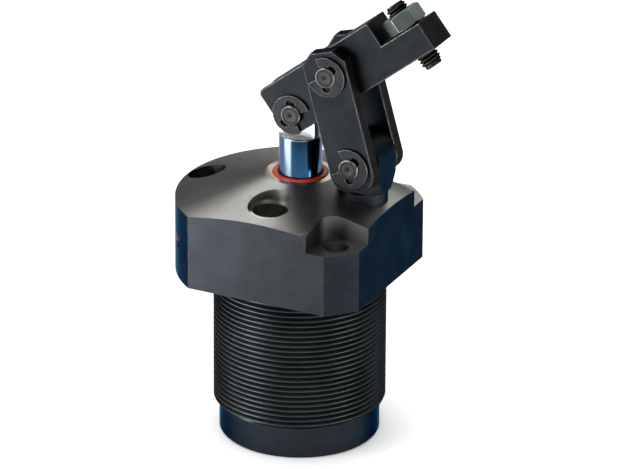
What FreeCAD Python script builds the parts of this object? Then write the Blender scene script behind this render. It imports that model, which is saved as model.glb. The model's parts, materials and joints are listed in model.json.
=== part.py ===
import FreeCAD
import Part
import Sketcher
import math
import os
import re

# Hydraulic link clamp. A single-acting piston in a threaded, flanged body pushes a rod up. The rod's
# tang lifts the heel of a lever, two links tie the lever to a post on the flange, and so the lever's
# nose swings down and presses its contact screw on the work.
# Frame: origin at the centre of the base, +Z up the rod, +X from the rod towards the lever's nose.

# Driving sizes, in millimetres and degrees
size_values = {
    # Body, turned from one bar
    "collar_radius": 22.35,
    "collar_height": 9.3,
    "thread_radius": 24.0,
    "thread_length": 39.2,
    "flange_radius": 34.55,
    "flange_height": 21.3,
    "flat_distance": 27.75,
    "cone_rise": 7.0,
    "land_radius": 9.75,
    "edge_break": 0.6,
    # Cylinder and gland inside the body
    "bore_radius": 15.0,
    "gland_height": 15.8,
    "wiper_seat_radius": 7.85,
    "wiper_seat_depth": 3.6,
    "wiper_relief": 0.45,
    "wiper_lip": 0.5,
    "gland_neck_radius": 6.6,
    "gland_neck_height": 1.0,
    "bushing_radius": 8.0,
    # Mounting holes
    "bolt_circle_radius": 28.9,
    "bolt_angle": 44.3,
    "bolt_hole_radius": 3.5,
    "ledge_drop": 3.8,
    "ledge_corner_radius": 5.5,
    "rear_seat_radius": 5.3,
    # Oil port, its passage and the vent of the spring chamber
    "port_offset": 18.7,
    "port_seat_radius": 6.2,
    "port_seat_depth": 4.5,
    "port_bore_radius": 4.95,
    "port_floor_web": 2.0,
    "passage_radius": 1.6,
    "vent_angle": 51.0,
    "vent_radius": 2.2,
    "vent_seat_depth": 4.0,
    "vent_passage_radius": 0.9,
    "vent_drop": 10.2,
    # End cap and its ring
    "cap_radius": 17.0,
    "cap_height": 8.4,
    "cap_groove_depth": 1.9,
    "cap_groove_height": 2.5,
    "cap_boss_radius": 12.0,
    "cap_spanner_radius": 2.1,
    "cap_spanner_place": 7.5,
    "cap_spanner_depth": 5.0,
    "ring_level": 1.1,
    "ring_thickness": 1.4,
    "ring_groove_radius": 18.0,
    "ring_inner_radius": 14.4,
    "ring_eye_radius": 2.0,
    "ring_eye_hole_radius": 0.9,
    "ring_gap_half": 3.2,
    "ring_clearance": 0.1,
    # Rod, piston and spring
    "rod_radius": 6.0,
    "rod_pin_height": 18.9,
    "shoulder_drop": 7.3,
    "tang_thickness": 5.0,
    "tang_relief": 0.035,
    "rod_spigot_radius": 4.0,
    "retract_travel": 6.0,
    "piston_height": 14.0,
    "piston_seal_height": 4.0,
    "piston_seal_depth": 3.0,
    "seal_lip_width": 0.9,
    "seal_lip_height": 1.6,
    "wear_ring_height": 3.0,
    "wear_ring_depth": 1.5,
    "piston_land": 2.2,
    "nut_width": 13.0,
    "nut_height": 4.0,
    "nut_pocket_radius": 8.2,
    "nut_sink": 0.4,
    "spring_coils": 5.0,
    "spring_wire_width": 2.8,
    "spring_wire_height": 2.4,
    "spring_mean_radius": 11.0,
    # Post
    "post_margin": 8.15,
    "post_pin_height": 8.2,
    "post_neck_radius": 6.4,
    "post_cone_radius": 7.1,
    "post_head_radius": 8.65,
    "post_half_width": 6.8,
    "post_thickness": 10.7,
    "post_neck_drop": 9.0,
    "post_cone_drop": 4.9,
    "post_seat_depth": 4.8,
    "post_shank_radius": 5.0,
    "post_shank_length": 8.8,
    # Links
    "link_length": 26.6,
    "link_width": 13.1,
    "link_thickness": 4.2,
    "link_reach": 6.95,
    "link_corner": 3.1,
    "link_foot_round": 5.0,
    # Lever, measured along and up from its heel pin
    "lever_thickness": 10.7,
    "lever_heel_radius": 5.4,
    "lever_top": 10.2,
    "lever_rear_break": 1.0,
    "lever_step_place": 36.35,
    "lever_nose_floor": 2.9,
    "lever_length": 50.2,
    "lever_pin_along": 19.0,
    "lever_pin_up": 3.94,
    "lever_fork_depth": 8.0,
    "lever_play_length": 1.8,
    "lever_play_drop": 0.3,
    "lever_play_radius": 3.42,
    "screw_place": 43.75,
    # Pins and clips
    "pin_radius": 3.0,
    "rod_pin_half": 6.75,
    "link_pin_half": 11.0,
    "pin_end_break": 0.4,
    "clip_thickness": 0.7,
    "clip_groove_radius": 2.5,
    "clip_outer_radius": 5.65,
    "clip_mouth_half": 2.1,
    "clip_flare_place": 2.6,
    "clip_relief_radius": 1.4,
    "clip_relief_place": 3.0,
    "clip_relief_angle": 112.0,
    "rod_clip_mouth": -17.0,
    "link_clip_mouth": 165.0,
    # Contact screw and lock nut
    "screw_radius": 3.0,
    "screw_length": 19.8,
    "screw_drop": 9.5,
    "screw_tip_radius": 2.2,
    "screw_tip_height": 1.0,
    "screw_socket_width": 3.0,
    "screw_socket_depth": 3.5,
    "lock_nut_width": 10.0,
    "lock_nut_height": 5.0,
    "lock_nut_break": 0.3,
    # Clearances
    "pin_clearance": 0.04,
    "side_clearance": 0.15,
    "tang_clearance": 0.1,
    "slide_clearance": 0.04,
    "seat_clearance": 0.02,
    "clip_clearance": 0.05,
    "edge_chamfer": 0.2,
}

# Places worked out from the sizes
place_formulas = {
    "post_offset": "flat_distance - post_margin",
    "thread_top": "collar_height + thread_length",
    "rim_level": "thread_top + flange_height",
    "land_level": "rim_level + cone_rise",
    "chamber_roof": "land_level - gland_height",
    "wiper_floor": "land_level - wiper_seat_depth",
    "bushing_top": "wiper_floor - gland_neck_height",
    "ledge_level": "rim_level - ledge_drop",
    "bolt_along": "bolt_circle_radius * cos(bolt_angle * 1 deg)",
    "bolt_across": "bolt_circle_radius * sin(bolt_angle * 1 deg)",
    "ledge_edge_along": "bolt_along - ledge_corner_radius",
    "ledge_edge_across": "bolt_across - ledge_corner_radius",
    "port_seat_level": "land_level - port_seat_depth",
    "port_floor": "chamber_roof + port_floor_web",
    "vent_level": "rim_level - vent_drop",
    "cap_floor": "ring_level + ring_thickness + clip_clearance",
    "cap_top": "cap_floor + cap_height",
    "cap_groove_middle": "cap_floor + cap_height / 2",
    "cap_groove_radius": "cap_radius - cap_groove_depth",
    "passage_foot": "cap_top + passage_radius + clip_clearance",
    "piston_floor": "cap_top + retract_travel + clip_thickness",
    "piston_top": "piston_floor + piston_height",
    "piston_radius": "bore_radius - slide_clearance",
    "seal_floor": "piston_floor + piston_land",
    "wear_ring_top": "piston_top - piston_land",
    "nut_floor": "piston_floor + nut_sink",
    "nut_ceiling": "nut_floor + nut_height",
    "seal_top": "seal_floor + piston_seal_height",
    "wear_ring_floor": "wear_ring_top - wear_ring_height",
    "rod_pin_level": "land_level + rod_pin_height",
    "shoulder_level": "rod_pin_level - shoulder_drop",
    "post_pin_level": "land_level + post_pin_height",
    "post_seat_level": "land_level - post_seat_depth",
    "post_neck_level": "post_pin_level - post_neck_drop",
    "post_cone_level": "post_pin_level - post_cone_drop",
    "link_inner": "lever_thickness / 2 + side_clearance",
    "link_outer": "link_inner + link_thickness",
    # The triangle of the three pivots gives the rest angles of lever and links
    "lever_line": "sqrt(lever_pin_along ^ 2 + lever_pin_up ^ 2)",
    "lever_line_angle": "atan2(lever_pin_up; lever_pin_along) / 1 deg",
    "pivot_drop": "rod_pin_level - post_pin_level",
    "pivot_line": "sqrt(post_offset ^ 2 + pivot_drop ^ 2)",
    "pivot_line_angle": "-atan2(pivot_drop; post_offset) / 1 deg",
    "heel_cosine": "(pivot_line ^ 2 + lever_line ^ 2 - link_length ^ 2) / (2 * pivot_line * lever_line)",
    "upper_pin_angle": "pivot_line_angle + acos(heel_cosine) / 1 deg",
    "lever_angle": "upper_pin_angle - lever_line_angle",
    "upper_pin_along": "lever_line * cos(upper_pin_angle * 1 deg)",
    "upper_pin_level": "rod_pin_level + lever_line * sin(upper_pin_angle * 1 deg)",
    "screw_along": "screw_place * cos(lever_angle * 1 deg)",
    "screw_level": "rod_pin_level + screw_place * sin(lever_angle * 1 deg)",
    "link_lean": "atan2(post_offset - upper_pin_along; upper_pin_level - post_pin_level) / 1 deg",
}

doc = FreeCAD.newDocument("LinkClamp")


def fill_sheet(name, cells):
    sheet = doc.addObject("Spreadsheet::Sheet", name)
    for row, alias in enumerate(cells, start=1):
        sheet.set("A%d" % row, alias)
        sheet.setAlias("B%d" % row, alias)
    for row, content in enumerate(cells.values(), start=1):
        sheet.set("B%d" % row, content)
    doc.recompute()
    return sheet


def full(expression, inside=""):
    """Put the sheet's name before every size and place that an expression names."""
    def prefixed(match):
        word = match.group(0)
        if word in size_values:
            return "Sizes." + word
        if word in place_formulas and inside != "Places":
            return "Places." + word
        return word
    return re.sub(r"[a-z_]+", prefixed, expression)


sizes = fill_sheet("Sizes", {name: str(value) for name, value in size_values.items()})
places = fill_sheet("Places", {name: "=" + full(formula, "Places")
                               for name, formula in place_formulas.items()})


def number(expression):
    """What an expression of sizes and places comes to now."""
    found = sizes.evalExpression(full(str(expression)))
    return float(getattr(found, "Value", found))


# Sketches and features

def new_body(label):
    body = doc.addObject("PartDesign::Body", label)
    body.Label = label
    return body


def new_sketch(body, name, plane="XY_Plane", offset="0"):
    sketch = body.newObject("Sketcher::SketchObject", body.Label + "_" + name)
    origin = [item for item in body.Origin.OriginFeatures if item.Role == plane][0]
    sketch.AttachmentSupport = [(origin, "")]
    sketch.MapMode = "FlatFace"
    if offset != "0":
        sketch.setExpression("AttachmentOffset.Base.z", full(offset))
    doc.recompute()
    return sketch


def pin_point(sketch, element, point, place):
    """Hold a point of the sketch at a pair of expressions."""
    for kind, expression in zip(("DistanceX", "DistanceY"), place):
        pin_coordinate(sketch, element, point, kind, expression)


def pin_coordinate(sketch, element, point, kind, expression):
    index = sketch.addConstraint(Sketcher.Constraint(kind, -1, 1, element, point, number(expression)))
    sketch.setExpression("Constraints[%d]" % index, full(str(expression)))


def add_circle(sketch, centre, radius):
    middle = FreeCAD.Vector(number(centre[0]), number(centre[1]), 0)
    element = sketch.addGeometry(Part.Circle(middle, FreeCAD.Vector(0, 0, 1), number(radius)))
    pin_point(sketch, element, 3, centre)
    index = sketch.addConstraint(Sketcher.Constraint("Radius", element, number(radius)))
    sketch.setExpression("Constraints[%d]" % index, full(str(radius)))


def add_outline(sketch, corners, arcs=None):
    """A closed outline through the corners. arcs gives, for the side that starts at a corner, its
    centre, the coordinate that holds the centre, and whether it turns anticlockwise."""
    arcs = arcs or {}
    points = [FreeCAD.Vector(number(across), number(up), 0) for across, up in corners]
    elements = []
    for start, point in enumerate(points):
        end = points[(start + 1) % len(points)]
        if start in arcs:
            centre, held, anticlockwise = arcs[start]
            middle = FreeCAD.Vector(number(centre[0]), number(centre[1]), 0)
            radius = (point - middle).Length
            first, last = (point, end) if anticlockwise else (end, point)
            from_angle = math.atan2(first.y - middle.y, first.x - middle.x)
            to_angle = math.atan2(last.y - middle.y, last.x - middle.x)
            if to_angle <= from_angle:
                to_angle += 2 * math.pi
            circle = Part.Circle(middle, FreeCAD.Vector(0, 0, 1), radius)
            element = sketch.addGeometry(Part.ArcOfCircle(circle, from_angle, to_angle))
            elements.append((element, 1 if anticlockwise else 2, 2 if anticlockwise else 1))
            kind = "DistanceX" if held == "x" else "DistanceY"
            pin_coordinate(sketch, element, 3, kind, centre[0] if held == "x" else centre[1])
        else:
            element = sketch.addGeometry(Part.LineSegment(point, end))
            elements.append((element, 1, 2))
    for start, (element, first, _) in enumerate(elements):
        before, _, last = elements[start - 1]
        sketch.addConstraint(Sketcher.Constraint("Coincident", before, last, element, first))
        pin_point(sketch, element, first, corners[start])


def add_rectangle(sketch, low, high):
    add_outline(sketch, [(low[0], low[1]), (high[0], low[1]), (high[0], high[1]), (low[0], high[1])])


def revolve(body, sketch, cut=False):
    kind = "PartDesign::Groove" if cut else "PartDesign::Revolution"
    feature = body.newObject(kind, sketch.Name + "_turned")
    feature.Profile = sketch
    feature.ReferenceAxis = (sketch, ["V_Axis"])
    feature.Angle = 360
    doc.recompute()
    return feature


def pad(body, sketch, length, midplane=False, back=False):
    feature = body.newObject("PartDesign::Pad", sketch.Name + "_pad")
    feature.Profile = sketch
    feature.setExpression("Length", full(length))
    feature.Midplane = midplane
    feature.Reversed = back
    doc.recompute()
    return feature


def pocket(body, sketch, length=None, midplane=False, back=False):
    feature = body.newObject("PartDesign::Pocket", sketch.Name + "_cut")
    feature.Profile = sketch
    if length is None:
        feature.Type = "ThroughAll"
    else:
        feature.setExpression("Length", full(length))
    feature.Midplane = midplane
    feature.Reversed = back
    doc.recompute()
    return feature


def chamfer_sides(body, blank):
    """Break the outer edges of both flat sides of a plate that was padded along Y."""
    box = blank.Shape.BoundBox
    names = []
    for index, edge in enumerate(blank.Shape.Edges, start=1):
        span = edge.BoundBox
        on_side = min(abs(span.YMin - box.YMin), abs(span.YMax - box.YMax)) < 1e-4
        if on_side and span.YLength < 1e-4:
            names.append("Edge%d" % index)
    broken = body.newObject("PartDesign::Chamfer", body.Label + "_break")
    broken.Base = (blank, names)
    broken.setExpression("Size", full("edge_chamfer"))
    doc.recompute()
    return broken


def place_at(item, position, turn=None):
    """Put a sub-part at three expressions, turned about an axis by an expression in degrees."""
    if turn:
        axis, angle = turn
        item.Placement = FreeCAD.Placement(FreeCAD.Vector(), FreeCAD.Rotation(FreeCAD.Vector(*axis), 1))
        item.setExpression("Placement.Rotation.Angle", full(angle))
    for letter, expression in zip("xyz", position):
        item.setExpression("Placement.Base." + letter, full(expression))
    doc.recompute()


# Body: collar, threaded barrel, flange and cone, with cylinder, gland and ports

def make_clamp_body():
    body = new_body("clamp_body")
    section = new_sketch(body, "section", "XZ_Plane")
    add_outline(section, [
        ("cap_radius", "0"),
        ("collar_radius - edge_break", "0"),
        ("collar_radius", "edge_break"),
        ("collar_radius", "collar_height"),
        ("thread_radius - edge_break", "collar_height"),
        ("thread_radius", "collar_height + edge_break"),
        ("thread_radius", "thread_top"),
        ("flange_radius", "thread_top"),
        ("flange_radius", "rim_level"),
        ("land_radius", "land_level"),
        ("wiper_seat_radius", "land_level"),
        ("wiper_seat_radius", "wiper_floor"),
        ("gland_neck_radius", "wiper_floor"),
        ("gland_neck_radius", "bushing_top"),
        ("bushing_radius", "bushing_top"),
        ("bushing_radius", "chamber_roof"),
        ("bore_radius", "chamber_roof"),
        ("bore_radius", "cap_top"),
        ("cap_radius", "cap_top"),
        ("cap_radius", "ring_level + ring_thickness"),
        ("ring_groove_radius", "ring_level + ring_thickness"),
        ("ring_groove_radius", "ring_level"),
        ("cap_radius", "ring_level"),
    ])
    revolve(body, section)

    flats = new_sketch(body, "flats")
    beyond = "2 * flange_radius"
    add_rectangle(flats, ("-flange_radius", "-" + beyond), (beyond, "-flat_distance"))
    add_rectangle(flats, ("flat_distance", "-flat_distance"), (beyond, "flat_distance"))
    add_rectangle(flats, ("-flange_radius", "flat_distance"), (beyond, beyond))
    pocket(body, flats, "2 * land_level", midplane=True)

    for name, side, anticlockwise in (("front_ledge", "-", False), ("rear_ledge", "", True)):
        ledge = new_sketch(body, name, offset="ledge_level")
        add_outline(ledge, [
            ("ledge_edge_along", side + "bolt_across"),
            ("bolt_along", side + "ledge_edge_across"),
            ("flange_radius", side + "ledge_edge_across"),
            ("flange_radius", side + "flange_radius"),
            ("ledge_edge_along", side + "flange_radius"),
        ], {0: (("bolt_along", side + "bolt_across"), "x", anticlockwise)})
        pocket(body, ledge, "ledge_drop + cone_rise", back=True)

    seat = new_sketch(body, "rear_seat", offset="ledge_level")
    add_circle(seat, ("-bolt_circle_radius", "0"), "rear_seat_radius")
    pocket(body, seat, "ledge_drop + cone_rise", back=True)

    holes = new_sketch(body, "bolt_holes")
    for place in (("bolt_along", "bolt_across"), ("bolt_along", "-bolt_across"),
                  ("-bolt_circle_radius", "0")):
        add_circle(holes, place, "bolt_hole_radius")
    pocket(body, holes, "2 * land_level", midplane=True)

    for name, radius, floor in (("port_seat", "port_seat_radius", "port_seat_level"),
                                ("port_bore", "port_bore_radius", "port_floor"),
                                ("passage", "passage_radius", "passage_foot")):
        drilled = new_sketch(body, name, offset=floor)
        add_circle(drilled, ("0", "-port_offset"), radius)
        pocket(body, drilled, "land_level", back=True)
    crossing = new_sketch(body, "crossing", "XZ_Plane")
    add_circle(crossing, ("0", "passage_foot"), "passage_radius")
    pocket(body, crossing, "port_offset", back=True)

    for name, radius, start in (("vent_seat", "vent_radius", "flange_radius - vent_seat_depth"),
                                ("vent_passage", "vent_passage_radius", "rod_radius")):
        vent = new_sketch(body, name, "XZ_Plane")
        turn = FreeCAD.Rotation(FreeCAD.Vector(0, 1, 0), -number("vent_angle"))
        vent.AttachmentOffset = FreeCAD.Placement(FreeCAD.Vector(), turn)
        vent.setExpression("AttachmentOffset.Base.x", full("-(%s) * sin(vent_angle * 1 deg)" % start))
        vent.setExpression("AttachmentOffset.Base.z", full("(%s) * cos(vent_angle * 1 deg)" % start))
        add_circle(vent, ("0", "vent_level"), radius)
        pocket(body, vent, "flange_radius", back=True)

    post_seat = new_sketch(body, "post_seat", offset="post_seat_level")
    add_circle(post_seat, ("post_offset", "0"), "post_neck_radius + seat_clearance")
    pocket(body, post_seat, "land_level", back=True)
    post_hole = new_sketch(body, "post_hole", offset="post_seat_level")
    add_circle(post_hole, ("post_offset", "0"), "post_shank_radius + seat_clearance")
    pocket(body, post_hole, "post_shank_length + clip_clearance")
    return body


def ring(label, inner, outer, floor, top):
    """A plain turned ring."""
    body = new_body(label)
    section = new_sketch(body, "section", "XZ_Plane")
    add_rectangle(section, (inner, floor), (outer, top))
    revolve(body, section)
    return body


def turned(label, corners):
    body = new_body(label)
    section = new_sketch(body, "section", "XZ_Plane")
    add_outline(section, corners)
    revolve(body, section)
    return body


def across_flats(sketch, width, centre=("0", "0")):
    """A hexagon with two corners on the sketch's second axis."""
    corner = "(%s) / sqrt(3)" % width
    half_side = "(%s) / (2 * sqrt(3))" % width
    half_width = "(%s) / 2" % width
    shape = [("0", corner), ("-" + half_width, half_side), ("-" + half_width, "-" + half_side),
             ("0", "-" + corner), (half_width, "-" + half_side), (half_width, half_side)]
    add_outline(sketch, [(centre[0] + " + " + along, centre[1] + " + " + across)
                         for along, across in shape])


# Gland at the top: a bronze bushing that guides the rod and a wiper that keeps dirt out

def make_rod_bushing():
    return ring("rod_bushing", "rod_radius + slide_clearance", "bushing_radius - seat_clearance",
                "chamber_roof", "bushing_top - seat_clearance")


def make_wiper_seal():
    outer = "wiper_seat_radius - seat_clearance"
    lip = "rod_radius + slide_clearance"
    middle = "(wiper_seat_radius + rod_radius) / 2"
    return turned("wiper_seal", [
        (middle + " - wiper_relief", "wiper_floor"),
        (outer, "wiper_floor"),
        (outer, "land_level - wiper_relief / 2"),
        (middle + " + wiper_relief / 2", "land_level + wiper_lip"),
        (middle, "land_level + wiper_lip"),
        (lip, "land_level - wiper_relief / 2"),
        (lip, "land_level - 2 * wiper_relief"),
        (middle + " - wiper_relief", "land_level - 3 * wiper_relief"),
    ])


# End cap that closes the cylinder from below, its seal and its snap ring

def make_end_cap():
    outer = "cap_radius - slide_clearance"
    groove_floor = "cap_groove_middle - cap_groove_height / 2"
    groove_top = "cap_groove_middle + cap_groove_height / 2"
    body = turned("end_cap", [
        ("0", "0"),
        ("cap_boss_radius", "0"),
        ("cap_boss_radius", "cap_floor"),
        (outer, "cap_floor"),
        (outer, groove_floor),
        ("cap_groove_radius", groove_floor),
        ("cap_groove_radius", groove_top),
        (outer, groove_top),
        (outer, "cap_top"),
        ("0", "cap_top"),
    ])
    holes = new_sketch(body, "spanner_holes")
    add_circle(holes, ("cap_spanner_place", "0"), "cap_spanner_radius")
    add_circle(holes, ("-cap_spanner_place", "0"), "cap_spanner_radius")
    pocket(body, holes, "cap_spanner_depth", back=True)
    return body


def make_end_cap_seal():
    """A ring of square section with its corners cut, which fills its groove."""
    inner = "cap_groove_radius + seat_clearance"
    outer = "cap_radius - seat_clearance"
    half = "cap_groove_depth / 2"
    quarter = "cap_groove_depth / 4"
    middle = "cap_groove_middle"
    return turned("end_cap_seal", [
        ("%s + %s" % (inner, quarter), "%s - %s" % (middle, half)),
        ("%s - %s" % (outer, quarter), "%s - %s" % (middle, half)),
        (outer, "%s - %s" % (middle, quarter)),
        (outer, "%s + %s" % (middle, quarter)),
        ("%s - %s" % (outer, quarter), "%s + %s" % (middle, half)),
        ("%s + %s" % (inner, quarter), "%s + %s" % (middle, half)),
        (inner, "%s + %s" % (middle, quarter)),
        (inner, "%s - %s" % (middle, quarter)),
    ])


def make_end_cap_ring():
    body = ring("end_cap_ring", "ring_inner_radius", "ring_groove_radius - ring_clearance",
                "ring_level + seat_clearance", "ring_level + ring_thickness - seat_clearance")
    gap = new_sketch(body, "gap")
    add_rectangle(gap, ("-ring_gap_half", "-ring_groove_radius"), ("ring_gap_half", "0"))
    pocket(body, gap, "2 * cap_floor", midplane=True)
    eyes = new_sketch(body, "eyes", offset="ring_level + seat_clearance")
    holes = new_sketch(body, "eye_holes")
    for side in ("", "-"):
        centre = (side + "(ring_gap_half + ring_eye_radius)", "-ring_inner_radius")
        add_circle(eyes, centre, "ring_eye_radius")
        add_circle(holes, centre, "ring_eye_hole_radius")
    pad(body, eyes, "ring_thickness - 2 * seat_clearance")
    pocket(body, holes, "2 * cap_floor", midplane=True)
    return body


# Piston, its seals and its nut, and the spring that lifts the lever again

def make_piston():
    inner = "rod_spigot_radius + seat_clearance"
    seal_inner = "piston_radius - piston_seal_depth"
    ring_inner = "piston_radius - wear_ring_depth"
    return turned("piston", [
        ("nut_pocket_radius", "piston_floor"),
        ("piston_radius", "piston_floor"),
        ("piston_radius", "seal_floor"),
        (seal_inner, "seal_floor"),
        (seal_inner, "seal_top"),
        ("piston_radius", "seal_top"),
        ("piston_radius", "wear_ring_floor"),
        (ring_inner, "wear_ring_floor"),
        (ring_inner, "wear_ring_top"),
        ("piston_radius", "wear_ring_top"),
        ("piston_radius", "piston_top"),
        (inner, "piston_top"),
        (inner, "nut_ceiling"),
        ("nut_pocket_radius", "nut_ceiling"),
    ])


def make_piston_seal():
    inner = "piston_radius - piston_seal_depth + seat_clearance"
    floor = "seal_floor + seat_clearance"
    top = "seal_top - seat_clearance"
    return turned("piston_seal", [
        (inner, top),
        ("piston_radius", top),
        ("piston_radius", floor),
        ("piston_radius - seal_lip_width", floor),
        ("piston_radius - piston_seal_depth / 2", "seal_floor + seal_lip_height"),
        ("piston_radius - piston_seal_depth + seal_lip_width", floor),
        (inner, floor),
    ])


def make_piston_wear_ring():
    body = ring("piston_wear_ring", "piston_radius - wear_ring_depth + seat_clearance", "piston_radius",
                "wear_ring_floor + seat_clearance", "wear_ring_top - seat_clearance")
    slit = new_sketch(body, "slit")
    add_rectangle(slit, ("0", "-tang_clearance"), ("bore_radius", "tang_clearance"))
    pocket(body, slit, "2 * piston_top", midplane=True)
    return body


def make_piston_nut():
    body = new_body("piston_nut")
    hexagon = new_sketch(body, "hexagon", offset="nut_floor")
    across_flats(hexagon, "nut_width")
    add_circle(hexagon, ("0", "0"), "rod_spigot_radius + seat_clearance")
    pad(body, hexagon, "nut_height")
    return body


def make_return_spring():
    """A coil of flat wire, between the piston and the chamber's roof."""
    body = new_body("return_spring")
    wire = new_sketch(body, "wire", "XZ_Plane")
    floor = "piston_top + seat_clearance"
    add_rectangle(wire, ("spring_mean_radius - spring_wire_width / 2", floor),
                  ("spring_mean_radius + spring_wire_width / 2", floor + " + spring_wire_height"))
    coil = body.newObject("PartDesign::AdditiveHelix", "return_spring_coil")
    coil.Profile = wire
    coil.ReferenceAxis = (wire, ["V_Axis"])
    coil.Mode = "height-turns-angle"
    coil.setExpression("Height", full("chamber_roof - piston_top - spring_wire_height"
                                      " - 2 * seat_clearance"))
    coil.setExpression("Turns", full("spring_coils"))
    doc.recompute()
    return body


# Rod: a ground bar with a flat tang that carries the lever's heel pin

def make_piston_rod():
    body = turned("piston_rod", [
        ("0", "piston_floor + tang_clearance"),
        ("rod_spigot_radius", "piston_floor + tang_clearance"),
        ("rod_spigot_radius", "piston_top"),
        ("rod_radius", "piston_top"),
        ("rod_radius", "shoulder_level - edge_chamfer"),
        ("rod_radius - edge_chamfer", "shoulder_level"),
        ("rod_radius - tang_relief", "shoulder_level + edge_chamfer"),
        ("rod_radius - tang_relief", "rod_pin_level + rod_radius"),
        ("0", "rod_pin_level + rod_radius"),
    ])
    over = "rod_pin_level + 2 * rod_radius"
    cheeks = new_sketch(body, "cheeks", "YZ_Plane")
    for side in ("", "-"):
        add_rectangle(cheeks, (side + "tang_thickness / 2", "shoulder_level"),
                      (side + "2 * rod_radius", over))
    pocket(body, cheeks, "4 * rod_radius", midplane=True)
    crown = new_sketch(body, "crown", "XZ_Plane")
    add_outline(crown, [
        ("-2 * rod_radius", "rod_pin_level"),
        ("-rod_radius", "rod_pin_level"),
        ("rod_radius", "rod_pin_level"),
        ("2 * rod_radius", "rod_pin_level"),
        ("2 * rod_radius", over),
        ("-2 * rod_radius", over),
    ], {1: (("0", "rod_pin_level"), "y", False)})
    pocket(body, crown, "4 * rod_radius", midplane=True)
    eye = new_sketch(body, "eye", "XZ_Plane")
    add_circle(eye, ("0", "rod_pin_level"), "pin_radius + pin_clearance")
    pocket(body, eye, "4 * rod_radius", midplane=True)
    return body


# Post: a turned shank and neck with a flat-sided head that carries the links' lower pin

def make_pivot_post():
    crown_level = "post_pin_level + post_half_width"
    body = turned("pivot_post", [
        ("0", "post_seat_level - post_shank_length"),
        ("post_shank_radius - edge_break", "post_seat_level - post_shank_length"),
        ("post_shank_radius", "post_seat_level - post_shank_length + edge_break"),
        ("post_shank_radius", "post_seat_level"),
        ("post_neck_radius", "post_seat_level"),
        ("post_neck_radius", "post_neck_level"),
        ("post_cone_radius", "post_neck_level"),
        ("post_head_radius", "post_cone_level"),
        ("post_head_radius", crown_level),
        ("0", crown_level),
    ])
    wide = "2 * post_head_radius"
    over = "post_pin_level + 2 * post_half_width"
    cheeks = new_sketch(body, "cheeks", "YZ_Plane")
    for side in ("", "-"):
        add_rectangle(cheeks, (side + "post_thickness / 2", "post_neck_level"), (side + wide, over))
    pocket(body, cheeks, "2 * " + wide, midplane=True)
    crown = new_sketch(body, "crown", "XZ_Plane")
    add_outline(crown, [
        ("-post_half_width", "post_neck_level"),
        ("-post_half_width", "post_pin_level"),
        ("post_half_width", "post_pin_level"),
        ("post_half_width", "post_neck_level"),
        (wide, "post_neck_level"),
        (wide, over),
        ("-" + wide, over),
        ("-" + wide, "post_neck_level"),
    ], {1: (("0", "post_pin_level"), "y", False)})
    pocket(body, crown, "2 * " + wide, midplane=True)
    eye = new_sketch(body, "eye", "XZ_Plane")
    add_circle(eye, ("0", "post_pin_level"), "pin_radius + seat_clearance")
    pocket(body, eye, "2 * " + wide, midplane=True)
    place_at(body, ("post_offset", "0", "0"))
    return body


# Links: two plates with cut corners above and round corners below, one each side of post and lever

def make_link(label, start):
    half = "link_width / 2"
    low = "-link_reach"
    high = "link_length + link_reach"
    foot_round = low + " + link_foot_round"
    body = new_body(label)
    plate = new_sketch(body, "plate", "XZ_Plane", start)
    add_outline(plate, [
        ("-%s + link_foot_round" % half, low),
        ("%s - link_foot_round" % half, low),
        (half, foot_round),
        (half, "%s - link_corner" % high),
        ("%s - link_corner" % half, high),
        ("-%s + link_corner" % half, high),
        ("-" + half, "%s - link_corner" % high),
        ("-" + half, foot_round),
    ], {1: (("%s - link_foot_round" % half, foot_round), "x", True),
        7: (("-%s + link_foot_round" % half, foot_round), "x", True)})
    blank = pad(body, plate, "link_thickness")
    chamfer_sides(body, blank)
    eyes = new_sketch(body, "eyes", "XZ_Plane")
    add_circle(eyes, ("0", "0"), "pin_radius + pin_clearance")
    add_circle(eyes, ("0", "link_length"), "pin_radius + seat_clearance")
    pocket(body, eyes, "4 * link_outer", midplane=True)
    place_at(body, ("post_offset", "0", "post_pin_level"), ((0, -1, 0), "link_lean"))
    return body


# Lever: a forked heel on the rod's tang, a round heel end, and a stepped nose for the contact screw

def make_lever():
    body = new_body("lever")
    side = new_sketch(body, "side", "XZ_Plane")
    add_outline(side, [
        ("-lever_heel_radius", "0"),
        ("0", "-lever_heel_radius"),
        ("lever_length", "-lever_heel_radius"),
        ("lever_length", "lever_nose_floor"),
        ("lever_step_place", "lever_nose_floor"),
        ("lever_step_place", "lever_top"),
        ("-lever_heel_radius + lever_rear_break", "lever_top"),
        ("-lever_heel_radius", "lever_top - lever_rear_break"),
    ], {0: (("0", "0"), "x", True)})
    blank = pad(body, side, "lever_thickness", midplane=True)
    chamfer_sides(body, blank)
    heel_eye = new_sketch(body, "heel_eye", "XZ_Plane")
    add_circle(heel_eye, ("0", "0"), "pin_radius + seat_clearance")
    pocket(body, heel_eye, "2 * lever_thickness", midplane=True)
    play = new_sketch(body, "play_slot", "XZ_Plane")
    start = "lever_pin_along"
    end = "(lever_pin_along + lever_play_length)"
    middle = "(lever_pin_up - lever_play_drop)"
    add_outline(play, [
        (start, middle + " + lever_play_radius"),
        (start, middle + " - lever_play_radius"),
        (end, middle + " - lever_play_radius"),
        (end, middle + " + lever_play_radius"),
    ], {0: ((start, middle), "x", True), 2: ((end, middle), "x", True)})
    pocket(body, play, "2 * lever_thickness", midplane=True)
    fork = new_sketch(body, "fork")
    gap = "(tang_thickness / 2 + tang_clearance)"
    add_rectangle(fork, ("-2 * lever_heel_radius", "-" + gap), ("lever_fork_depth", gap))
    pocket(body, fork, "4 * lever_top", midplane=True)
    nose_hole = new_sketch(body, "nose_hole")
    add_circle(nose_hole, ("screw_place", "0"), "screw_radius + slide_clearance")
    pocket(body, nose_hole, "4 * lever_top", midplane=True)
    place_at(body, ("0", "0", "rod_pin_level"), ((0, -1, 0), "lever_angle"))
    return body


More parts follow.
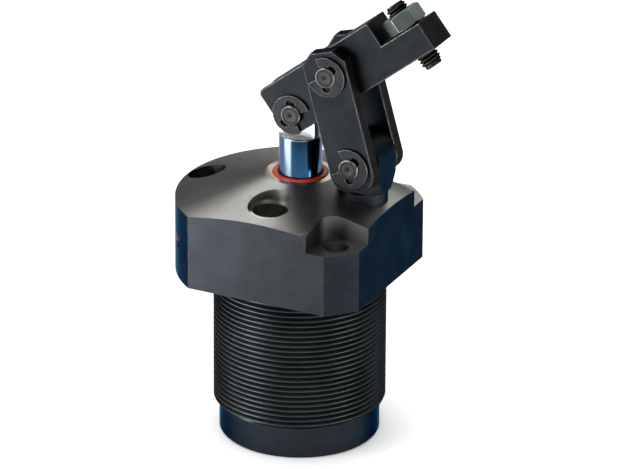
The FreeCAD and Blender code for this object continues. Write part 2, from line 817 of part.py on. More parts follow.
# Pins, each with a ring groove near both ends, and their open clips

def make_pin(label, half, seat, position):
    groove = "%s + clip_clearance" % seat
    groove_end = "%s + 2 * clip_clearance + clip_thickness" % seat
    upper = [
        ("pin_radius", groove),
        ("clip_groove_radius", groove),
        ("clip_groove_radius", groove_end),
        ("pin_radius", groove_end),
        ("pin_radius", half + " - pin_end_break"),
        ("pin_radius - pin_end_break", half),
    ]
    lower = [(across, "-(%s)" % up) for across, up in reversed(upper)]
    body = turned(label, [("0", "-" + half)] + lower + upper + [("0", half)])
    place_at(body, position, ((1, 0, 0), "90"))
    return body


def make_clip(label, seat, front, position, mouth_angle):
    """An open clip of three prongs, its mouth flared; mouth_angle is where it opens, seen from the front."""
    body = new_body(label)
    disc = new_sketch(body, "disc")
    add_circle(disc, ("0", "0"), "clip_outer_radius")
    add_circle(disc, ("0", "0"), "clip_groove_radius + seat_clearance")
    pad(body, disc, "clip_thickness")
    mouth = new_sketch(body, "mouth")
    beyond = "2 * clip_outer_radius"
    flare = "clip_mouth_half + %s - clip_flare_place" % beyond
    add_outline(mouth, [("0", "-clip_mouth_half"), ("clip_flare_place", "-clip_mouth_half"),
                        (beyond, "-(%s)" % flare), (beyond, flare),
                        ("clip_flare_place", "clip_mouth_half"), ("0", "clip_mouth_half")])
    pocket(body, mouth, "4 * clip_thickness", midplane=True)
    reliefs = new_sketch(body, "reliefs")
    for side in ("", "-"):
        across = side + "clip_relief_place * sin(clip_relief_angle * 1 deg)"
        along = "clip_relief_place * cos(clip_relief_angle * 1 deg)"
        add_circle(reliefs, (along, across), "clip_relief_radius")
    pocket(body, reliefs, "4 * clip_thickness", midplane=True)
    upright = FreeCAD.Rotation(FreeCAD.Vector(1, 0, 0), 90)
    turn = FreeCAD.Rotation(FreeCAD.Vector(0, -1, 0), mouth_angle)
    body.Placement = FreeCAD.Placement(FreeCAD.Vector(), turn.multiply(upright))
    stand = "(%s + clip_clearance + clip_clearance / 2)" % seat
    outward = "-" + stand if front else stand + " + clip_thickness"
    for letter, expression in zip("xyz", (position[0], outward, position[2])):
        body.setExpression("Placement.Base." + letter, full(expression))
    doc.recompute()
    return body


# Contact screw in the nose and its lock nut

def make_contact_screw():
    top = "screw_length - screw_drop"
    body = turned("contact_screw", [
        ("0", "-screw_drop"),
        ("screw_tip_radius", "-screw_drop"),
        ("screw_radius", "-screw_drop + screw_tip_height"),
        ("screw_radius", top + " - pin_end_break"),
        ("screw_radius - pin_end_break", top),
        ("0", top),
    ])
    socket = new_sketch(body, "socket", offset=top)
    across_flats(socket, "screw_socket_width")
    pocket(body, socket, "screw_socket_depth")
    place_at(body, ("screw_along", "0", "screw_level"), ((0, -1, 0), "lever_angle"))
    return body


def make_lock_nut():
    body = new_body("lock_nut")
    hexagon = new_sketch(body, "hexagon", offset="lever_nose_floor")
    across_flats(hexagon, "lock_nut_width")
    add_circle(hexagon, ("0", "0"), "screw_radius + slide_clearance")
    pad(body, hexagon, "lock_nut_height")
    corners = new_sketch(body, "corners", "XZ_Plane")
    far = "lock_nut_width"
    near = "lock_nut_width / 2 - lock_nut_break"
    slope = "(%s) / sqrt(3)" % "lock_nut_width / 2 + lock_nut_break"
    top = "lever_nose_floor + lock_nut_height"
    add_outline(corners, [(near, top), (far, top + " - " + slope), (far, top + " + lock_nut_height"),
                          (near, top + " + lock_nut_height")])
    add_outline(corners, [(near, "lever_nose_floor"), (near, "-lock_nut_height"),
                          (far, "-lock_nut_height"), (far, "lever_nose_floor + " + slope)])
    revolve(body, corners, cut=True)
    place_at(body, ("screw_along", "0", "screw_level"), ((0, -1, 0), "lever_angle"))
    return body


rod_pin_place = ("0", "0", "rod_pin_level")
upper_pin_place = ("upper_pin_along", "0", "upper_pin_level")
lower_pin_place = ("post_offset", "0", "post_pin_level")

make_clamp_body()
make_rod_bushing()
make_wiper_seal()
make_end_cap()
make_end_cap_seal()
make_end_cap_ring()
make_piston_rod()
make_piston()
make_piston_seal()
make_piston_wear_ring()
make_piston_nut()
make_return_spring()
make_pivot_post()
make_link("link_front", "link_inner")
make_link("link_rear", "-link_outer")
make_lever()
make_contact_screw()
make_lock_nut()
for pin_name, half, seat, place, mouth in (
        ("rod_pin", "rod_pin_half", "lever_thickness / 2", rod_pin_place, "rod_clip_mouth"),
        ("upper_pin", "link_pin_half", "link_outer", upper_pin_place, "link_clip_mouth"),
        ("lower_pin", "link_pin_half", "link_outer", lower_pin_place, "link_clip_mouth")):
    make_pin(pin_name, half, seat, place)
    make_clip(pin_name + "_clip_front", seat, True, place, number(mouth))
    make_clip(pin_name + "_clip_rear", seat, False, place, number(mouth))

doc.recompute()
broken = [item.Name for item in doc.Objects if "Invalid" in item.State or "Error" in item.State]
if broken:
    raise RuntimeError("These objects failed: " + ", ".join(broken))

subparts = [item for item in doc.Objects if item.TypeId == "PartDesign::Body"]
for item in subparts:
    if item.Shape.isNull() or not item.Shape.isValid() or not item.Shape.Solids:
        raise RuntimeError(item.Label + " has no sound shape")

os.makedirs("parts", exist_ok=True)
for item in subparts:
    item.Shape.exportStep("parts/%s.step" % item.Label)
    print("%-22s %d solid, %.1f mm3" % (item.Label, len(item.Shape.Solids), item.Shape.Volume))
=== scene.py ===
import bmesh
import bpy
import json
import math
from mathutils import Matrix, Vector

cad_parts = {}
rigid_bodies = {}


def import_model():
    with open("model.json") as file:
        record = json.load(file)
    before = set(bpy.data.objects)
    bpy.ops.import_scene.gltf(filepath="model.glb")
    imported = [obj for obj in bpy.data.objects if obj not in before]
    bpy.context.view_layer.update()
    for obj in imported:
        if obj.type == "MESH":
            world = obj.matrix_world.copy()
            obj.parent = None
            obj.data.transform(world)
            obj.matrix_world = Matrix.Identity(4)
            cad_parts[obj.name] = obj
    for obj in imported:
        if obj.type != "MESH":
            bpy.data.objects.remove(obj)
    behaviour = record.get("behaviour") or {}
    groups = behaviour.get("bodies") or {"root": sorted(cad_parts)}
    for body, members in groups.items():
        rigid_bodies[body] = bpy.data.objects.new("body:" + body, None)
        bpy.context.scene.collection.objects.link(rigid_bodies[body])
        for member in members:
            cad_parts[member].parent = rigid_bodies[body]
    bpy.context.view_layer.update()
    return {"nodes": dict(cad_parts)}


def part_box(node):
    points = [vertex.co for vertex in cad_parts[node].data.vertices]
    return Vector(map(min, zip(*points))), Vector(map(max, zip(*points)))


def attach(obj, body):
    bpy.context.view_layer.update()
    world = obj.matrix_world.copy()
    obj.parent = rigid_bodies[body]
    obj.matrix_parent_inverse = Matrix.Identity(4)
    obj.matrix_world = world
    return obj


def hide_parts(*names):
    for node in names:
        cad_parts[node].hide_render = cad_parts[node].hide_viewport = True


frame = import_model()
nodes = frame["nodes"]
mm = 0.001
print("frame loaded with", len(nodes), "nodes")


# Wiring helpers, for materials and for geometry trees

def plug(tree, slot, value):
    if isinstance(value, Wire):
        tree.links.new(value.socket, slot)
    elif slot.type == "RGBA":
        slot.default_value = (*value[:3], 1)
    else:
        slot.default_value = value


class Wire:  # a socket; sums and products written with it add their Math nodes
    def __init__(self, tree, socket):
        self.tree = tree
        self.socket = socket

    def math(self, operation, *others, first=None):
        node = self.tree.nodes.new("ShaderNodeMath")
        node.operation = operation
        items = (self,) + others if first is None else (first, self)
        for place, item in enumerate(items):
            plug(self.tree, node.inputs[place], item)
        return Wire(self.tree, node.outputs[0])

    def __add__(self, other): return self.math("ADD", other)
    def __radd__(self, other): return self.math("ADD", other)
    def __sub__(self, other): return self.math("SUBTRACT", other)
    def __rsub__(self, other): return self.math("SUBTRACT", first=other)
    def __mul__(self, other): return self.math("MULTIPLY", other)
    def __rmul__(self, other): return self.math("MULTIPLY", other)
    def __truediv__(self, other): return self.math("DIVIDE", other)


class Bench:  # one tree and the ways to add nodes to it
    def __init__(self, tree):
        self.tree = tree

    def add(self, kind, settings=None, sockets=None, out=0):
        node = self.tree.nodes.new(kind)
        for name, value in (settings or {}).items():
            setattr(node, name, value)
        for name, value in (sockets or {}).items():
            plug(self.tree, node.inputs[name], value)
        return Wire(self.tree, node.outputs[out]) if len(node.outputs) else None

    def mapped(self, size, centre=(0, 0, 0)):
        # the object's own coordinates from centre, divided by the pattern's size, both in millimetres
        return self.add("ShaderNodeMapping", {"vector_type": "TEXTURE"}, {
            "Vector": self.add("ShaderNodeTexCoord", out="Object"),
            "Location": [c * mm for c in centre], "Scale": [s * mm for s in size]})

    def noise(self, vector, detail, roughness):
        return self.add("ShaderNodeTexNoise", {"noise_dimensions": "3D"},
                        {"Vector": vector, "Scale": 1.0, "Detail": detail, "Roughness": roughness})

    def between(self, value, low, high, smooth=True):
        # 0 at low, 1 at high
        return self.add("ShaderNodeMapRange",
                        {"clamp": True, "interpolation_type": "SMOOTHSTEP" if smooth else "LINEAR"},
                        {"Value": value, "From Min": low, "From Max": high})

    def split(self, vector):
        node = self.tree.nodes.new("ShaderNodeSeparateXYZ")
        plug(self.tree, node.inputs[0], vector)
        return [Wire(self.tree, output) for output in node.outputs]

    def blend(self, factor, first, second):
        return self.add("ShaderNodeMix", {"data_type": "RGBA"}, {0: factor, 6: first, 7: second}, out=2)

    def bump(self, height):
        # height is in millimetres
        return self.add("ShaderNodeBump", None, {"Height": height, "Strength": 1.0, "Distance": 1.0 * mm})


def startMaterial(name):
    material = bpy.data.materials.new(name)
    material.use_nodes = True
    material.node_tree.nodes.clear()
    return material, Bench(material.node_tree)


# Finishes

patternLook = {
    "grain": (4, 0.62), "mottle": (5, 0.6), "speck": (2, 0.5), "ringDetail": 2.0,   # detail and roughness
    "toneFrom": 0.3, "toneTo": 0.7, "ringFrom": 0.42, "ringTo": 0.66,
}


def metalFinish(name, look):
    # grain is one fine stretched pattern, mottle a broad cloudy one; sizes and depths are in millimetres
    material, bench = startMaterial(name)
    grain = bench.noise(bench.mapped(look["grainSize"]), *patternLook["grain"])
    mottle = bench.noise(bench.mapped(look["mottleSize"]), *patternLook["mottle"])
    speck = bench.noise(bench.mapped((look["speckSize"],) * 3), *patternLook["speck"])
    cloud = mottle * look["mottleShare"] + grain * (1 - look["mottleShare"])
    tone = bench.between(cloud, patternLook["toneFrom"], patternLook["toneTo"])
    colour = bench.blend(tone, look["dark"], look["light"])
    rough = look["roughness"] + (grain - 0.5) * look["roughSpread"] + (mottle - 0.5) * look["roughCloud"]
    height = grain * look["grainDepth"] + speck * look["speckDepth"]
    if "ringCentre" in look:
        # fine turned rings round the axis through ringCentre, which runs along y
        across, _, upward = bench.split(bench.mapped((1, 1, 1), look["ringCentre"]))
        reach = (across.math("POWER", 2.0) + upward.math("POWER", 2.0)).math("SQRT")
        ring = bench.add("ShaderNodeTexNoise", {"noise_dimensions": "1D"},
                         {"W": reach, "Scale": 1 / look["ringSize"], "Detail": patternLook["ringDetail"]})
        ringTone = bench.between(ring, patternLook["ringFrom"], patternLook["ringTo"])
        colour = bench.blend(ringTone, colour, look["ringLight"])
        height = height + ring * look["ringDepth"]
    sockets = {"Base Color": colour, "Roughness": rough, "Metallic": look["metallic"],
               "Specular Tint": look["glancing"], "Normal": bench.bump(height)}
    for key, socket in (("anisotropy", "Anisotropic"), ("anisotropyTurn", "Anisotropic Rotation"),
                        ("specular", "Specular IOR Level"), ("coat", "Coat Weight"),
                        ("coatIor", "Coat IOR"), ("coatRoughness", "Coat Roughness")):
        if key in look:
            sockets[socket] = look[key]
    shader = bench.add("ShaderNodeBsdfPrincipled", None, sockets)
    bench.add("ShaderNodeOutputMaterial", None, {"Surface": shader})
    return material


# Black oxide is a dark metal with weak blue glancing reflections; the other finishes start from it
oxideLook = {
    "dark": (0.020, 0.0225, 0.0255), "light": (0.030, 0.034, 0.039), "glancing": (0.24, 0.38, 0.45),
    "roughness": 0.4, "roughSpread": 0.16, "roughCloud": 0.12, "metallic": 1.0,
    "grainSize": (0.25, 0.25, 9.0), "grainDepth": 0.004, "mottleSize": (9, 9, 9), "mottleShare": 0.6,
    "speckSize": 0.22, "speckDepth": 0.003,
}
finishes = {
    "flatOxide": oxideLook,
    "roundOxide": {**oxideLook, "dark": (0.016, 0.0195, 0.024), "light": (0.026, 0.031, 0.038),
                   "glancing": (0.18, 0.38, 0.48), "grainSize": (30, 30, 0.22), "roughness": 0.34},
    "threadOxide": {**oxideLook, "dark": (0.034, 0.039, 0.040), "light": (0.054, 0.061, 0.0625),
                    "glancing": (0.16, 0.18, 0.2), "grainSize": (12, 12, 0.3), "roughness": 0.3,
                    "metallic": 0.88, "specular": 0.25},
    "plateOxide": {**oxideLook, "dark": (0.0110, 0.0128, 0.0148), "light": (0.0172, 0.0202, 0.0226),
                   "glancing": (0.3, 0.32, 0.34), "grainSize": (2.5, 0.5, 2.5), "mottleSize": (6, 6, 6),
                   "roughness": 0.42},
    "sawnOxide": {**oxideLook, "dark": (0.030, 0.0295, 0.030), "light": (0.052, 0.0505, 0.050),
                  "glancing": (0.3, 0.3, 0.3), "grainSize": (2, 2, 0.5), "mottleSize": (5, 5, 5),
                  "roughness": 0.44},
    "clipOxide": {**oxideLook, "dark": (0.0155, 0.0168, 0.018), "light": (0.026, 0.0275, 0.029),
                  "grainSize": (1.2, 0.4, 1.2), "mottleSize": (3, 3, 3), "roughness": 0.38},
    "screwOxide": {**oxideLook, "dark": (0.026, 0.025, 0.024), "light": (0.060, 0.058, 0.054),
                   "glancing": (0.3, 0.3, 0.32), "grainSize": (1, 1, 1), "mottleSize": (3, 3, 3)},
    "coneSteel": {**oxideLook, "dark": (0.40, 0.39, 0.37), "light": (0.56, 0.55, 0.52),
                  "glancing": (0.22, 0.22, 0.21), "roughness": 0.3, "roughSpread": 0.03, "roughCloud": 0.02,
                  "grainSize": (0.5, 0.5, 0.5), "grainDepth": 0.001, "mottleSize": (14, 14, 14),
                  "speckDepth": 0.001, "anisotropy": 0.6, "anisotropyTurn": 0.25},
    "landSteel": {**oxideLook, "dark": (0.43, 0.365, 0.305), "light": (0.60, 0.515, 0.435),
                  "glancing": (0.8, 0.8, 0.8), "roughness": 0.34, "grainSize": (0.5, 0.5, 0.5),
                  "grainDepth": 0.001, "speckDepth": 0.001},
    "milledSteel": {**oxideLook, "dark": (0.074, 0.079, 0.074), "light": (0.122, 0.129, 0.122),
                    "glancing": (0.5, 0.5, 0.5), "roughness": 0.38, "grainSize": (0.5, 0.5, 0.5)},
    "seatSteel": {**oxideLook, "dark": (0.32, 0.322, 0.30), "light": (0.50, 0.502, 0.47),
                  "glancing": (0.5, 0.5, 0.5), "roughness": 0.42, "grainSize": (0.5, 0.5, 0.5)},
    "boredSteel": {**oxideLook, "dark": (0.36, 0.355, 0.34), "light": (0.64, 0.63, 0.60),
                   "glancing": (0.8, 0.8, 0.8), "roughness": 0.3, "grainSize": (20, 20, 0.25),
                   "grainDepth": 0.008},
    "groundSteel": {**oxideLook, "dark": (0.52, 0.53, 0.54), "light": (0.68, 0.69, 0.70),
                    "glancing": (0.9, 0.9, 0.9), "roughness": 0.3, "grainSize": (0.3, 6, 6)},
    "chrome": {**oxideLook, "dark": (0.002, 0.070, 0.175), "light": (0.004, 0.090, 0.212),
               "glancing": (0.1, 0.2, 0.3), "roughness": 0.13, "roughSpread": 0.03, "roughCloud": 0.02,
               "coat": 1.0, "coatIor": 1.4, "coatRoughness": 0.16,
               "grainSize": (20, 20, 0.15), "grainDepth": 0.0004, "speckDepth": 0.0001},
    "zinc": {**oxideLook, "dark": (0.13, 0.205, 0.245), "light": (0.265, 0.28, 0.235),
             "glancing": (0.8, 0.85, 0.85), "roughness": 0.36, "roughSpread": 0.06, "roughCloud": 0.05,
             "grainSize": (0.8, 2.5, 0.8), "grainDepth": 0.0008, "speckDepth": 0.0004,
             "mottleSize": (12, 12, 12), "mottleShare": 0.95},
    # worn bare edges with a painted edge highlight: a grey far lighter than the oxide, for the plates' and the
    # post's bevels
    "wornEdgeAndHighlight": {**oxideLook, "dark": (0.05, 0.053, 0.056), "light": (0.19, 0.195, 0.20),
                 "glancing": (0.5, 0.52, 0.55), "roughness": 0.36, "mottleSize": (2.5, 2.5, 2.5),
                 "grainSize": (0.6, 0.6, 0.6)},
    # painted highlight: a lighter grey for the ring on the pins' end chamfers and for the clips' bevels
    "paintedRimHighlight": {**oxideLook, "dark": (0.09, 0.09, 0.09), "light": (0.34, 0.34, 0.335),
               "glancing": (0.6, 0.6, 0.6), "roughness": 0.32, "mottleSize": (1.2, 1.2, 1.2),
               "grainSize": (0.5, 0.5, 0.5)},
    # painted edge highlight: light steel for the bevels of the body, the lock nut and the rod's tang, far
    # lighter than the finish beside it
    "paintedEdgeHighlight": {**oxideLook, "dark": (0.35, 0.34, 0.32), "light": (0.62, 0.61, 0.58),
                   "glancing": (0.8, 0.8, 0.8), "roughness": 0.3, "mottleSize": (3, 3, 3),
                   "grainSize": (0.6, 0.6, 0.6)},
    "bronze": {**oxideLook, "dark": (0.42, 0.26, 0.10), "light": (0.60, 0.40, 0.18),
               "glancing": (0.9, 0.8, 0.6), "roughness": 0.32, "grainSize": (20, 20, 0.2)},
    "brightSteel": {**oxideLook, "dark": (0.36, 0.36, 0.35), "light": (0.50, 0.50, 0.49),
                    "glancing": (0.8, 0.8, 0.8), "roughness": 0.32, "grainSize": (0.3, 0.3, 12)},
    "springSteel": {**oxideLook, "dark": (0.045, 0.045, 0.05), "light": (0.075, 0.075, 0.08)},
    "sealRed": {**oxideLook, "dark": (0.62, 0.035, 0.012), "light": (0.80, 0.075, 0.03), "metallic": 0.0,
                "glancing": (1, 1, 1), "roughness": 0.34, "grainSize": (2, 2, 2), "grainDepth": 0.002,
                "mottleSize": (3, 3, 3)},
    "rubber": {**oxideLook, "dark": (0.012, 0.012, 0.012), "light": (0.026, 0.026, 0.026), "metallic": 0.0,
               "glancing": (1, 1, 1), "roughness": 0.55, "grainSize": (1, 1, 1)},
    "bearingPlastic": {**oxideLook, "dark": (0.42, 0.34, 0.22), "light": (0.54, 0.46, 0.31), "metallic": 0.0,
                       "glancing": (1, 1, 1), "roughness": 0.5, "grainSize": (1, 1, 1)},
}
paint = {name: metalFinish(name, look) for name, look in finishes.items()}
print("finishes made:", len(paint))


# Mesh helpers

def newPiece(name, mesh):
    piece = bpy.data.objects.new(name, mesh)
    bpy.context.scene.collection.objects.link(piece)
    return piece


def settle(piece):
    # the modifiers' result becomes the piece's own mesh
    depsgraph = bpy.context.evaluated_depsgraph_get()
    depsgraph.update()
    mesh = bpy.data.meshes.new_from_object(piece.evaluated_get(depsgraph), depsgraph=depsgraph)
    piece.modifiers.clear()
    piece.data = mesh
    mesh.name = piece.name


def paintWith(piece, *names):
    # one material slot for each finish; the result says which slot each one has
    for name in names:
        piece.data.materials.append(paint[name])
    return {name: place for place, name in enumerate(names)}


meshLook = {
    "weld": 0.001, "flatAngle": 0.3,                                # copies of the CAD's nodes
    "sharpBefore": 50, "edgeAngle": 26, "edgeSegments": 2,          # soft edges
    "sharpAfter": 48, "faceWeight": 60,
    "turnedSharp": 30, "threadSharp": 60, "threadCollapse": 0.0005,
}


def mergedCopy(nodeName, change=None):
    # the CAD node's triangles, merged into one skin, with its flat areas made whole
    form = bmesh.new()
    form.from_mesh(nodes[nodeName].data)
    bmesh.ops.remove_doubles(form, verts=form.verts, dist=meshLook["weld"] * mm)
    bmesh.ops.dissolve_limit(form, angle_limit=math.radians(meshLook["flatAngle"]),
                             verts=form.verts, edges=form.edges)
    if change:
        change(form)
    form.verts.index_update()
    mesh = bpy.data.meshes.new(nodeName)
    mesh.from_pydata([v.co[:] for v in form.verts], [], [[v.index for v in f.verts] for f in form.faces])
    form.free()
    mesh.update()
    return mesh


def smoothTo(mesh, angle):
    # smooth, but for the edges that turn by more than the angle
    mesh.shade_smooth()
    mesh.set_sharp_from_angle(angle=math.radians(angle))


def softenEdges(piece, width, edgeSlot):
    # small rounded edges, which take the finish of the given material slot; every caller gives a lighter finish
    # there, a painted highlight along the edges
    smoothTo(piece.data, meshLook["sharpBefore"])
    bevel = piece.modifiers.new("edges", "BEVEL")
    bevel.width = width * mm
    bevel.segments = meshLook["edgeSegments"]
    bevel.limit_method = "ANGLE"
    bevel.angle_limit = math.radians(meshLook["edgeAngle"])
    bevel.use_clamp_overlap = True
    bevel.harden_normals = False
    # the bevel faces take that lighter finish: painted edge highlight
    bevel.material = edgeSlot
    settle(piece)
    smoothTo(piece.data, meshLook["sharpAfter"])
    weighted = piece.modifiers.new("normals", "WEIGHTED_NORMAL")
    weighted.keep_sharp = True
    weighted.weight = meshLook["faceWeight"]
    settle(piece)


def turnedMesh(name, profile, segments, matrix=None):
    # profile is radius and height pairs in millimetres, up the outside; a zero radius closes an end
    vertices = []
    rings = []
    for radius, height in profile:
        if radius == 0:
            rings.append([len(vertices)])
            vertices.append((0, 0, height * mm))
            continue
        rings.append(list(range(len(vertices), len(vertices) + segments)))
        for step in range(segments):
            angle = 2 * math.pi * step / segments
            vertices.append((radius * mm * math.cos(angle), radius * mm * math.sin(angle), height * mm))
    faces = []
    for low, high in zip(rings, rings[1:]):
        for step in range(segments):
            after = (step + 1) % segments
            if len(low) == 1:
                faces.append((low[0], high[after], high[step]))
            elif len(high) == 1:
                faces.append((low[step], low[after], high[0]))
            else:
                faces.append((low[step], low[after], high[after], high[step]))
    mesh = bpy.data.meshes.new(name)
    mesh.from_pydata(vertices, [], faces)
    mesh.update()
    if matrix is not None:
        mesh.transform(matrix)
    return mesh


def hand(piece, body, slot, *replaced):
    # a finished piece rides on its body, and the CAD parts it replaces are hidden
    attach(piece, body)
    if replaced:
        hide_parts(*replaced)


# Camera, where the photograph was taken from

cameraLook = {
    "azimuth": 26.126, "elevation": 23.616, "roll": 0.276, "distance": 1715.7,
    "lens": 358.04, "sensor": 36.0, "aimHeight": 58.76, "shift": (0.01952, -0.00497), "seesTo": 50,
}


def placeCamera(look):
    turn, rise = math.radians(look["azimuth"]), math.radians(look["elevation"])
    back = Vector((math.sin(turn) * math.cos(rise), -math.cos(turn) * math.cos(rise), math.sin(rise)))
    right = Vector((math.cos(turn), math.sin(turn), 0))
    up = back.cross(right)
    facing = Matrix((right, up, back)).transposed()
    facing = facing @ Matrix.Rotation(math.radians(look["roll"]), 3, "Z")
    data = bpy.data.cameras.new("camera")
    data.lens = look["lens"]
    data.sensor_width = look["sensor"]
    data.shift_x, data.shift_y = look["shift"]
    data.clip_end = look["seesTo"]
    camera = newPiece("camera", data)
    spot = Vector((0, 0, look["aimHeight"] * mm)) + back * look["distance"] * mm
    camera.matrix_world = Matrix.Translation(spot) @ facing.to_4x4()
    bpy.context.scene.camera = camera


placeCamera(cameraLook)
print("camera placed")


# Thread as a sheared grid, so that its crests follow the helix

def helixTree():
    tree = bpy.data.node_groups.new("helicalThread", "GeometryNodeTree")
    for name, kind, value in (("Radius", "NodeSocketFloat", 24 * mm), ("Depth", "NodeSocketFloat", 0.9 * mm),
                              ("Pitch", "NodeSocketFloat", 1.5 * mm), ("Bottom", "NodeSocketFloat", 0.0),
                              ("Top", "NodeSocketFloat", 30 * mm), ("Inner Radius", "NodeSocketFloat", 22 * mm),
                              ("Lead In", "NodeSocketFloat", 0.6 * mm), ("Lead Out", "NodeSocketFloat", 0.0),
                              ("Flank Share", "NodeSocketFloat", 0.7), ("Weld", "NodeSocketFloat", 0.0005 * mm),
                              ("Segments", "NodeSocketInt", 96), ("Rows Per Turn", "NodeSocketInt", 10),
                              ("Finish", "NodeSocketMaterial", None)):
        socket = tree.interface.new_socket(name=name, in_out="INPUT", socket_type=kind)
        if value is not None:
            socket.default_value = value
    tree.interface.new_socket(name="Thread", in_out="OUTPUT", socket_type="NodeSocketGeometry")
    bench = Bench(tree)
    given = tree.nodes.new("NodeGroupInput")

    def put(name):
        return Wire(tree, given.outputs[name])

    radius, depth, pitch, bottom, top = (put(n) for n in ("Radius", "Depth", "Pitch", "Bottom", "Top"))
    inner, segments, rowsPerTurn = put("Inner Radius"), put("Segments"), put("Rows Per Turn")
    turns = ((top - bottom) / pitch).math("CEIL") + 3    # two spare turns below and one above
    rows = turns * rowsPerTurn + 2                       # the last row closes the inner wall
    grid = tree.nodes.new("GeometryNodeMeshGrid")
    plug(tree, grid.inputs["Vertices X"], segments + 1)
    plug(tree, grid.inputs["Vertices Y"], rows)
    around, upward, _ = bench.split(Wire(tree, grid.outputs["UV Map"]))
    row = (upward * (rows - 1)).math("ROUND")
    free = bottom - pitch * 2 + pitch * (row / rowsPerTurn + around)
    phase = (row / rowsPerTurn).math("FRACT")
    ridge = (phase * 2 - 1).math("ABSOLUTE")             # 1 at a crest, 0 at a root
    rise = bench.between(ridge, 0.0, put("Flank Share"), smooth=False)
    outside = radius - depth * (1 - rise)
    leadIn = radius - (bottom + put("Lead In") - free).math("MAXIMUM", 0.0)
    leadOut = radius - (free - top + put("Lead Out")).math("MAXIMUM", 0.0)
    outside = outside.math("MINIMUM", leadIn).math("MINIMUM", leadOut).math("MAXIMUM", inner)
    last = row.math("GREATER_THAN", rows - 1.5)
    level = free.math("MAXIMUM", bottom).math("MINIMUM", top)
    level = level * (1 - last) + bottom * last
    beyond = free.math("LESS_THAN", bottom - pitch / 1000) + free.math("GREATER_THAN", top) + last
    beyond = beyond.math("MINIMUM", 1.0)
    reach = outside * (1 - beyond) + inner * beyond
    angle = around * (2 * math.pi)
    position = bench.add("ShaderNodeCombineXYZ", None, {
        0: reach * angle.math("COSINE"), 1: reach * angle.math("SINE"), 2: level})
    moved = bench.add("GeometryNodeSetPosition", None, {
        "Geometry": Wire(tree, grid.outputs["Mesh"]), "Position": position})
    merged = bench.add("GeometryNodeMergeByDistance", None, {"Geometry": moved, "Distance": put("Weld")})
    smooth = bench.add("GeometryNodeSetShadeSmooth", None, {"Geometry": merged})
    real = bench.add("GeometryNodeRealizeInstances", None, {"Geometry": smooth})
    painted = bench.add("GeometryNodeSetMaterial", None, {"Geometry": real, "Material": put("Finish")})
    bench.add("NodeGroupOutput", None, {"Thread": painted})
    return tree


threadTree = helixTree()


def makeThread(name, inputs, matrix=None):
    piece = newPiece(name, bpy.data.meshes.new(name))
    modifier = piece.modifiers.new("thread", "NODES")
    modifier.node_group = threadTree
    for item in threadTree.interface.items_tree:
        if item.in_out == "INPUT" and item.name in inputs:
            modifier[item.identifier] = inputs[item.name]
    settle(piece)
    form = bmesh.new()
    form.from_mesh(piece.data)
    bmesh.ops.dissolve_degenerate(form, edges=form.edges, dist=meshLook["threadCollapse"] * mm)
    bmesh.ops.recalc_face_normals(form, faces=form.faces)
    form.to_mesh(piece.data)
    form.free()
    piece.data.set_sharp_from_angle(angle=math.radians(meshLook["threadSharp"]))
    if matrix is not None:
        piece.data.transform(matrix)
    return piece


# Body: flats, coned top, ledges, holes and collar from the frame; its thread is cut in here

bodyLook = {
    "edge": 0.16, "rimLevel": 69.8, "landLevel": 76.8, "landRadius": 9.75, "flangeRadius": 34.55,
    "flat": 27.75, "ledgeLevel": 66.0, "portAt": -18.7, "portReach": 6.3, "portDepth": 50,
    "threadTop": 48.5, "skinFrom": 23.2, "skinTo": 24.1, "coreRadius": 22.95, "holesFrom": 25,
    "upTo": 0.01, "hair": 0.02, "slack": 0.1, "reserve": 0.5,       # how near a face is to its level or edge
    "level": 0.999, "nearLevel": 0.9, "upright": 0.1, "underside": -0.5, "coneMatch": 0.004,   # how it faces
    "slots": ("roundOxide", "flatOxide", "coneSteel", "milledSteel", "boredSteel", "paintedEdgeHighlight", "landSteel",
              "seatSteel"),
}
barrelThreadLook = {
    "radius": 24.0, "depth": 0.78, "pitch": 1.5, "bottom": 9.3, "top": 48.55, "inner": 22.5, "leadIn": 0.9,
    "segments": 128, "rowsPerTurn": 10,
}


def bodyCore(form):
    # the barrel shrinks to the thread's root, under the thread's own skin
    for vertex in form.verts:
        reach = math.hypot(vertex.co.x, vertex.co.y)
        inBarrel = vertex.co.z < (bodyLook["threadTop"] + bodyLook["upTo"]) * mm
        if inBarrel and bodyLook["skinFrom"] * mm < reach < bodyLook["skinTo"] * mm:
            share = bodyLook["coreRadius"] * mm / reach
            vertex.co.x *= share
            vertex.co.y *= share


def smoothCone(mesh, slot, slope):
    # the cone's own normals, so that its long thin facets don't show in the reflections
    normals = [normal.vector.copy() for normal in mesh.corner_normals]
    for face in mesh.polygons:
        if face.material_index == slot:
            for corner in face.loop_indices:
                spot = mesh.vertices[mesh.loops[corner].vertex_index].co
                around = math.atan2(spot.y, spot.x)
                normals[corner] = Vector((math.sin(slope) * math.cos(around),
                                          math.sin(slope) * math.sin(around), math.cos(slope)))
    mesh.normals_split_custom_set(normals)


